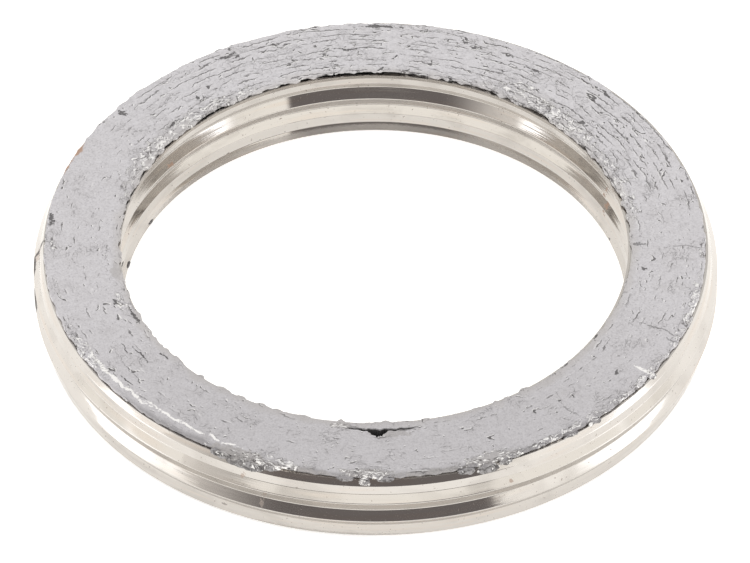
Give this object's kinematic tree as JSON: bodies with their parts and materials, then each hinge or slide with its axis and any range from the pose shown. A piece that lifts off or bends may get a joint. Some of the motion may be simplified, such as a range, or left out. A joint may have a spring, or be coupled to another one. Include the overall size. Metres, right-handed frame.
{
  "type": "exhaust gasket",
  "caption": "Spiral-wound exhaust port gasket: a flat ring of formed stainless strip and grey graphite, with bare steel turns round the bore and the rim.",
  "frame": {"origin": "middle of the lower sealing face, on the ring's axis", "axes": "+Z along the ring's axis, up through the face shown upward in the picture; +X and +Y across the ring"},
  "size_m": [0.0479, 0.0481, 0.0056],
  "materials": {
    "strip_steel": "bright rolled, lightly scuffed",
    "graphite": "matt, smeared and finely cracked"
  },
  "bodies": {
    "root": {"inner_steel_turns": "strip_steel", "graphite_winding": "graphite", "outer_steel_turns": "strip_steel"}
  },
  "joints": []
}
